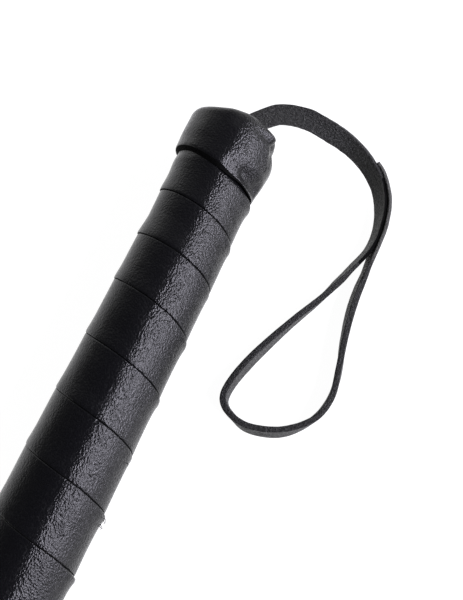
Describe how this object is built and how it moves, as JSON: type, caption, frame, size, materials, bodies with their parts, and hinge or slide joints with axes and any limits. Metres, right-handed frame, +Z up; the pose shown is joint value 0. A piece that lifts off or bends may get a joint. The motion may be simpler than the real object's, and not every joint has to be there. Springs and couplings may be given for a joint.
{
  "type": "riding crop",
  "caption": "Short riding crop: thick handle spirally wound in black leather with a folded leather butt band, flat wrist strap, tapered covered shaft and a flexing leather keeper.",
  "frame": {"origin": "on the table under the middle of the crop's length, straight below its axis", "axes": "+X along the crop to its butt end, +Z up; the crop lies on its side and the wrist strap lies on the table towards -Y"},
  "size_m": [0.6501, 0.0883, 0.035],
  "materials": {
    "wrap_leather": "semi-gloss fine pebbled grain",
    "strap_leather": "dull, fibrous, dyed through",
    "keeper_leather": "semi-gloss fine pebbled grain",
    "wood": "plain turned beech",
    "steel": "plain",
    "felt": "pressed felt",
    "moulding": "satin moulding",
    "fibreglass": "black pultruded glass fibre",
    "thread": "waxed braided thread"
  },
  "bodies": {
    "handle": {"grip_wrap": "wrap_leather", "butt_band": "wrap_leather", "end_collar": "wrap_leather", "butt_disc": "strap_leather", "strap_root": "strap_leather", "strap_wedge": "wood", "handle_core": "wood", "strap_pin_1": "steel", "strap_pin_2": "steel", "shaft_pin": "steel", "handle_padding": "felt", "end_ferrule": "moulding", "shaft_rod": "fibreglass", "shaft_cover": "thread", "cover_whipping": "thread", "tip_whipping": "thread", "keeper_neck": "keeper_leather"},
    "wrist_loop": {"wrist_strap": "strap_leather"},
    "keeper": {"keeper_front": "keeper_leather", "keeper_back": "keeper_leather"}
  },
  "joints": [
    {"name": "wrist_loop_swing", "type": "hinge", "parent": "handle", "child": "wrist_loop", "pos_m": [0.317, -0.001, 0.0175], "axis": [0, 0, 1], "range_deg": [-5, 50]},
    {"name": "keeper_flex", "type": "hinge", "parent": "handle", "child": "keeper", "pos_m": [-0.245, 0, 0.0175], "axis": [0, 0, 1], "range_deg": [-60, 60], "stiffness_Nm_per_rad": 0.02}
  ]
}
